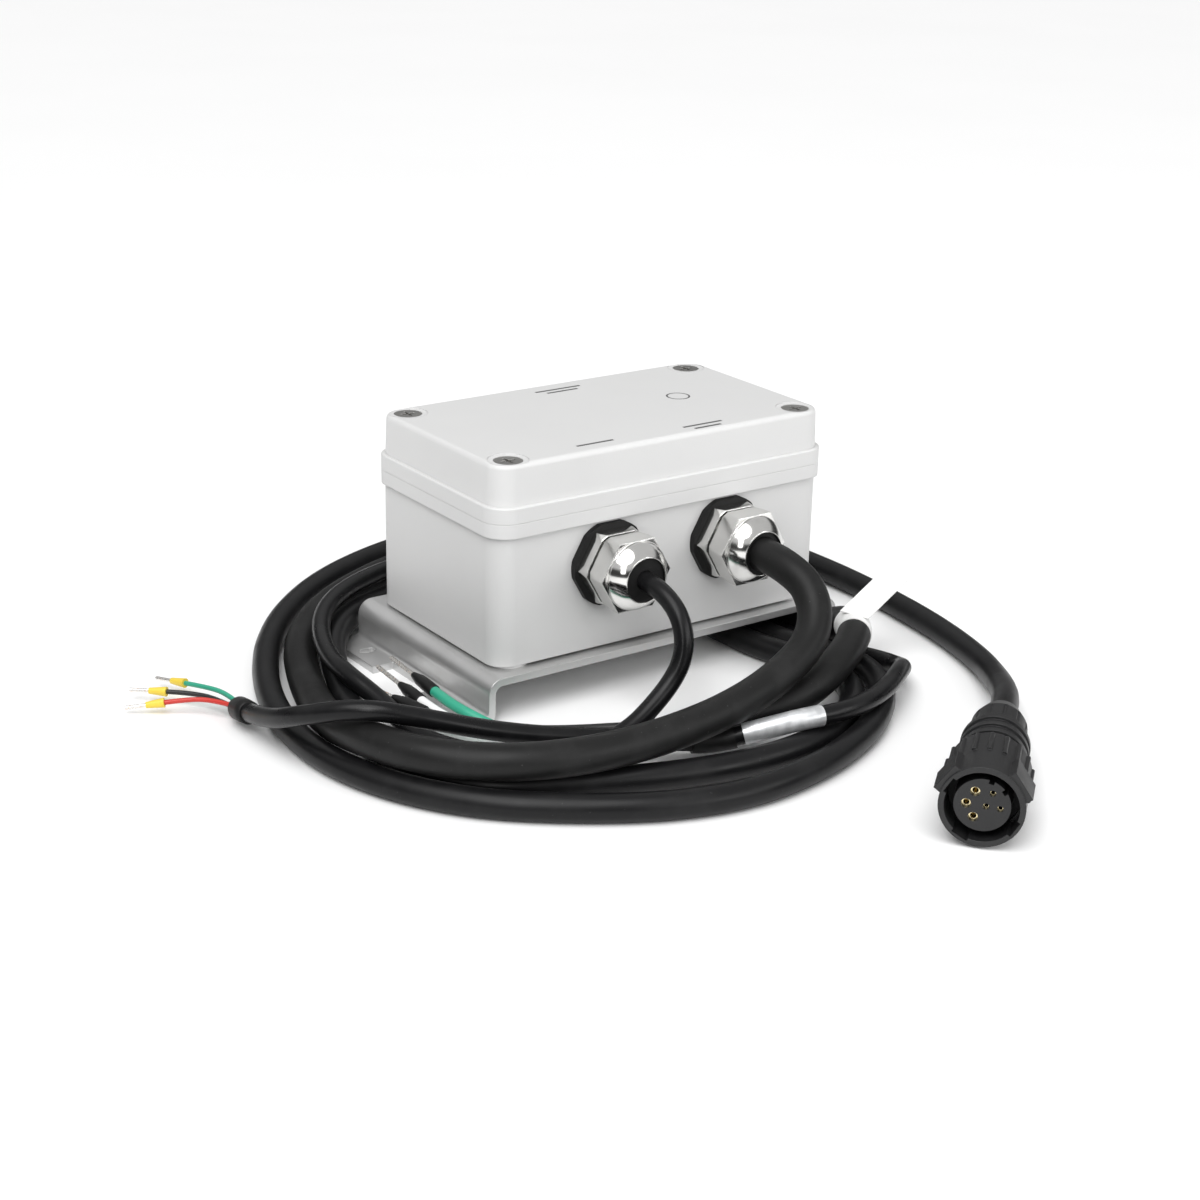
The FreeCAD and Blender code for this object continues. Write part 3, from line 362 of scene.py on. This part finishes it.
def paper():
    """White label stock with faint fibres and waves."""
    label = Surface("LabelPaper", (0.84, 0.84, 0.83), 0.5)
    fibres = label.noise(800, 4)
    label.tint(label.ramp(fibres, 0.45, 0.75), (0.76, 0.76, 0.75))
    label.vary_roughness(fibres, 0.04)
    label.raise_by(label.noise(90, 3), 0.12)
    return label.finish()


COAT = (0.63, 0.63, 0.627)
# Marks printed on the lid: centre x, centre y, length along x, width along y, all in millimetres.
LID_BARS = [
    (1.6, 35.2, 22, 1.5), (1.6, 31.8, 15, 1.5),
    (-29.3, -35.9, 17, 1.5),
    (21.6, -36.4, 19, 1.5), (21.6, -40, 13, 1.5),
]
# A printed ring: centre x, centre y, radius, line width.
LID_RING = (38, 1.1, 4.6, 0.8)
# Only the lid's flat top, which is 98 mm up, is higher than this.
PRINT_ABOVE = 97.5


def lid_coat():
    """The enclosure's coat with plain printed bars and a ring, which stand for its labels."""
    coat = powder_coat("LidCoat", COAT)
    split = coat.tree.nodes.new("ShaderNodeSeparateXYZ")
    coat.link(coat.place, split.inputs[0])
    x, y, z = split.outputs
    marks = None
    for centre_x, centre_y, length, width in LID_BARS:
        away_x = coat.math("ABSOLUTE", coat.math("SUBTRACT", x, centre_x * MM))
        away_y = coat.math("ABSOLUTE", coat.math("SUBTRACT", y, centre_y * MM))
        bar = coat.math("MULTIPLY", coat.math("LESS_THAN", away_x, length * MM / 2),
                        coat.math("LESS_THAN", away_y, width * MM / 2))
        marks = bar if marks is None else coat.math("MAXIMUM", marks, bar)
    centre_x, centre_y, radius, width = LID_RING
    across = coat.math("SUBTRACT", x, centre_x * MM)
    along = coat.math("SUBTRACT", y, centre_y * MM)
    distance = coat.math("SQRT", coat.math("ADD", coat.math("MULTIPLY", across, across),
                                           coat.math("MULTIPLY", along, along)))
    off_ring = coat.math("ABSOLUTE", coat.math("SUBTRACT", distance, radius * MM))
    marks = coat.math("MAXIMUM", marks, coat.math("LESS_THAN", off_ring, width * MM / 2))
    on_top = coat.math("GREATER_THAN", z, PRINT_ABOVE * MM)
    coat.tint(coat.math("MULTIPLY", marks, on_top), (0.1, 0.1, 0.1))
    return coat.finish(0.5)


CABLE_RUBBER = rubber("CableRubber", (0.008, 0.008, 0.008), 0.46, 0.09)
CABLE_JACKET = rubber("CableJacket", (0.006, 0.006, 0.0065), 0.38, 0.06)
DATA_JACKET = rubber("DataJacket", (0.005, 0.005, 0.0055), 0.3, 0.05, 0.012)
SEAL_RUBBER = rubber("SealRubber", (0.007, 0.007, 0.007), 0.5, 0.06)
SHRINK = rubber("ShrinkTube", (0.007, 0.007, 0.007), 0.4, 0.08, 0.02)
ENCLOSURE = powder_coat("EnclosureCoat", COAT).finish(0.6)
LID = lid_coat()
BRACKET = bracket_metal()
SCREW = plated_metal("ScrewSteel", (0.62, 0.61, 0.59), 0.3, 0.25)
NICKEL = plated_metal("NickelPlate", (0.72, 0.715, 0.7), 0.13, 0.7)
PLUG = plastic("PlugPlastic", (0.009, 0.009, 0.0095), 0.45, 0.05, 0.5)
INSERT = plastic("InsertPlastic", (0.007, 0.007, 0.0075), 0.42, 0.02)
CONTACT = plated_metal("ContactBrass", (0.82, 0.7, 0.42), 0.22, 0.1)
GREEN = plastic("GreenInsulation", (0.03, 0.33, 0.21), 0.34)
WHITE = plastic("WhiteInsulation", (0.8, 0.8, 0.8), 0.34)
BLACK = plastic("BlackInsulation", (0.015, 0.015, 0.015), 0.34)
RED = plastic("RedInsulation", (0.5, 0.03, 0.02), 0.34)
YELLOW = plastic("YellowCollar", (0.75, 0.56, 0.06), 0.4)
BARE = stranded("TinnedCopper")
FOIL = foil()
PAPER = paper()
BOARD = plastic("BoardMask", (0.03, 0.2, 0.09), 0.3, 0.03, coat=0.3)
TERMINAL = plastic("TerminalGreen", (0.05, 0.3, 0.12), 0.4)
VARISTOR = plastic("VaristorEpoxy", (0.04, 0.12, 0.45), 0.3, coat=0.2)
CERAMIC = plastic("Ceramic", (0.8, 0.79, 0.75), 0.35)
FUSE = plated_metal("FuseClips", (0.7, 0.66, 0.6), 0.25, 0.1)
EPOXY = plastic("DiodeEpoxy", (0.02, 0.02, 0.02), 0.5)
FERRITE = plastic("Ferrite", (0.07, 0.07, 0.07), 0.6)
LEAD = plastic("LeadInsulation", (0.5, 0.5, 0.48), 0.36)

NODE_MATERIALS = {
    "mounting_bracket": BRACKET, "bracket_screws": SCREW, "enclosure_base": ENCLOSURE,
    "enclosure_lid": LID, "lid_gasket": SEAL_RUBBER, "jacket_tails": CABLE_JACKET,
    "inner_leads": LEAD, "ferrule_collars": YELLOW, "ferrule_pins": BARE,
    "silver_wrap": FOIL, "data_tape_sleeve": SHRINK, "cable_flag_label": PAPER,
    "plug_end_cap": PLUG, "plug_shell": PLUG, "plug_coupling_ring": PLUG,
    "plug_insert": INSERT, "plug_contacts": CONTACT, "plug_seals": SEAL_RUBBER,
    "protection_board": BOARD, "board_screws": SCREW, "power_terminal_block": TERMINAL,
    "data_terminal_block": TERMINAL, "output_terminal_block": TERMINAL,
    "terminal_screws": SCREW, "varistors": VARISTOR, "gas_discharge_tube": CERAMIC,
    "fuse_in_clips": FUSE, "suppressor_diodes": EPOXY, "line_choke": FERRITE,
}
for gland in ("power", "data", "output"):
    NODE_MATERIALS[gland + "_gland_seal"] = SEAL_RUBBER
    NODE_MATERIALS[gland + "_gland_body"] = NICKEL
    NODE_MATERIALS[gland + "_gland_insert"] = SEAL_RUBBER
    NODE_MATERIALS[gland + "_dome_nut"] = NICKEL
    NODE_MATERIALS[gland + "_locknut"] = NICKEL
for corner in ("front_left", "front_right", "back_left", "back_right"):
    NODE_MATERIALS["cover_screw_" + corner] = SCREW
for name, material in NODE_MATERIALS.items():
    nodes[name].data.materials.clear()
    nodes[name].data.materials.append(material)

for piece, material, slot in (
        (power_cord, CABLE_RUBBER, "cable_rubber"),
        (data_cord, DATA_JACKET, "data_jacket"),
        (output_cord, CABLE_JACKET, "cable_jacket")):
    dress(piece, material)


# ------------------------------------------------------------------ the cords' free ends
BOOT_REACH = 15
STRAND_LAP = 0.4
STRAND_RADIUS = 0.9
STRAND_STEPS = 40
STRAND_TURNS = 2
OUTER_WIRES = 6
SLEEVE_LAP = 12


def turned(name, profile, origin, axis, material, around=40):
    """A surface of revolution: profile lists (distance along the axis, radius) in millimetres."""
    turn = Vector((0, 0, 1)).rotation_difference(axis).to_matrix()
    verts = []
    faces = []
    for along, radius in profile:
        for step in range(around):
            angle = 2 * math.pi * step / around
            ring = Vector((radius * math.cos(angle), radius * math.sin(angle), along))
            verts.append((turn @ ring + Vector(origin)) * MM)
    for row in range(len(profile) - 1):
        for step in range(around):
            after = (step + 1) % around
            faces.append((row * around + step, row * around + after,
                          (row + 1) * around + after, (row + 1) * around + step))
    faces.append(tuple(reversed(range(around))))
    faces.append(tuple(range((len(profile) - 1) * around, len(profile) * around)))
    mesh = bpy.data.meshes.new(name)
    mesh.from_pydata(verts, [], faces)
    for face in mesh.polygons:
        face.use_smooth = len(face.vertices) == 4
    piece = add_piece(name, mesh)
    dress(piece, material)
    return piece


def make_strands(name, origin, axis, length, radius):
    """Seven fine wires in a bundle of the given radius: one straight, six twisted round it."""
    curve = bpy.data.curves.new(name, "CURVE")
    curve.dimensions = "3D"
    curve.bevel_depth = radius / 3
    curve.bevel_resolution = 3
    curve.use_fill_caps = True
    turn = Vector((0, 0, 1)).rotation_difference(axis).to_matrix()
    for wire in range(OUTER_WIRES + 1):
        spline = curve.splines.new("POLY")
        spline.points.add(STRAND_STEPS)
        away = 0 if wire == OUTER_WIRES else radius * 2 / 3
        for index, control in enumerate(spline.points):
            share = index / STRAND_STEPS
            angle = 2 * math.pi * (wire / OUTER_WIRES + STRAND_TURNS * share)
            local = Vector((away * math.cos(angle), away * math.sin(angle), length * share))
            control.co = (*((turn @ local + Vector(origin)) * MM), 1)
            control.radius = MM
    piece = add_piece(name, curve)
    dress(piece, BARE)
    return piece


def make_power_end():
    """The three cores with their shrink boots and twisted strands.

    A boot reaches past its core's end, and the strands start a little inside it.
    """
    finishes = {"power_core_green": (GREEN, "green_insulation", 20),
                "power_core_white": (WHITE, "white_insulation", 20),
                "power_core_black": (BLACK, "black_insulation", 14)}
    pieces = []
    for node_name, points in CORE_ROUTES.items():
        material, slot, bare = finishes[node_name]
        colour = node_name.removeprefix("power_core_").title()
        core = cord_curve("Core" + colour, points, CORE_DIAMETER)
        dress(core, material)
        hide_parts(node_name)
        axis = heading(points)
        origin = Vector(points[-1])
        radius = CORE_DIAMETER / 2
        profile = [(-3, radius + 0.15), (-2.6, radius + 0.4), (4, radius + 0.45), (9, radius + 0.3),
                   (11, radius - 0.1), (14, radius - 0.6), (BOOT_REACH, radius - 0.8)]
        boot = turned("Boot" + colour, profile, origin, axis, SHRINK)
        tip = make_strands("Strands" + colour, origin + axis * (BOOT_REACH - STRAND_LAP), axis,
                           bare + STRAND_LAP, STRAND_RADIUS)
        pieces += [core, boot, tip]
    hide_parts("power_core_boots")
    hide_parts("power_core_strands")
    return pieces


def make_data_end():
    """The shrink sleeve, which laps over the jacket's end, and the three wires."""
    finishes = {"data_wire_green": (GREEN, "green_insulation"),
                "data_wire_black": (BLACK, "black_insulation"),
                "data_wire_red": (RED, "red_insulation")}
    pieces = []
    for node_name, points in WIRE_ROUTES.items():
        material, slot = finishes[node_name]
        colour = node_name.removeprefix("data_wire_").title()
        wire = cord_curve("Wire" + colour, points, WIRE_DIAMETER)
        dress(wire, material)
        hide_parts(node_name)
        pieces.append(wire)
    axis = heading(DATA_ROUTE)
    start = Vector(DATA_ROUTE[-1]) - axis * SLEEVE_LAP
    radius = DATA_DIAMETER / 2
    profile = [(0, radius + 0.1), (0.2, radius + 0.7), (5, radius + 0.85), (11, radius + 0.85),
               (13, radius + 0.3), (14.6, radius - 0.3), (15, radius - 0.6)]
    sleeve = turned("DataSleeve", profile, start, axis, SHRINK)
    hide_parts("data_end_sleeve")
    pieces.append(sleeve)
    return pieces


power_end = make_power_end()
data_end = make_data_end()


# ------------------------------------------------------------------ studio
# The studio's lengths are in metres.
FLOOR_REACH = 60.0
# Brightness of the world by height: the sine of the angle above the horizon, and the grey level.
SKY_LEVELS = ((0.0, 0.25), (0.12, 0.06), (0.3, 0.1), (0.42, 1.0), (1.0, 1.0))
SKY_STRENGTH = 0.62


def make_floor():
    """A plain white floor that fills the main view."""
    mesh = bpy.data.meshes.new("Floor")
    corners = [(-1, -1), (1, -1), (1, 1), (-1, 1)]
    mesh.from_pydata([(x * FLOOR_REACH, y * FLOOR_REACH, 0) for x, y in corners], [], [(0, 1, 2, 3)])
    surface = Surface("FloorPaper", (0.93, 0.93, 0.93), 0.55)
    surface.tint(surface.ramp(surface.noise(3, 2), 0.4, 0.7), (0.92, 0.92, 0.92))
    surface.raise_by(surface.noise(300, 2), 0.01)
    mesh.materials.append(surface.finish())
    floor = bpy.data.objects.new("Floor", mesh)
    collection.objects.link(floor)


def area_light(name, place, size, power, target=(0, 0, 0.03)):
    """A soft rectangular lamp of the given power in watts, turned towards the target."""
    data = bpy.data.lights.new(name, "AREA")
    data.shape = "RECTANGLE"
    data.size, data.size_y = size
    data.energy = power
    lamp = bpy.data.objects.new(name, data)
    lamp.location = place
    lamp.rotation_euler = (Vector(target) - Vector(place)).to_track_quat("-Z", "Y").to_euler()
    collection.objects.link(lamp)


def make_world():
    """A bright studio with a dark band low down, for contrast in polished metal."""
    world = bpy.data.worlds.new("Studio")
    bpy.context.scene.world = world
    world.use_nodes = True
    tree = world.node_tree
    place = tree.nodes.new("ShaderNodeTexCoord")
    split = tree.nodes.new("ShaderNodeSeparateXYZ")
    ramp = tree.nodes.new("ShaderNodeValToRGB")
    tree.links.new(place.outputs["Generated"], split.inputs[0])
    tree.links.new(split.outputs[2], ramp.inputs[0])
    tree.links.new(ramp.outputs[0], tree.nodes["Background"].inputs["Color"])
    while len(ramp.color_ramp.elements) < len(SKY_LEVELS):
        ramp.color_ramp.elements.new(0.5)
    for element, (position, level) in zip(ramp.color_ramp.elements, SKY_LEVELS):
        element.position = position
        element.color = (level, level, level, 1)
    tree.nodes["Background"].inputs["Strength"].default_value = SKY_STRENGTH


def sun_light():
    """One broad soft sun from above the camera and a little to its left."""
    data = bpy.data.lights.new("Sun", "SUN")
    data.energy = 2.1
    data.angle = math.radians(50)
    lamp = bpy.data.objects.new("Sun", data)
    lamp.rotation_euler = Vector((0.45, 0.3, -1)).to_track_quat("-Z", "Y").to_euler()
    collection.objects.link(lamp)


make_floor()
make_world()
sun_light()
area_light("StripLeft", (-0.8, -0.7, 0.7), (0.25, 0.9), 3)
area_light("StripRight", (0.8, -1.0, 0.5), (0.2, 0.8), 2)
area_light("FrontFill", (0.4, -1.8, 0.7), (1.2, 0.7), 9)
bpy.context.scene.view_settings.view_transform = "Standard"
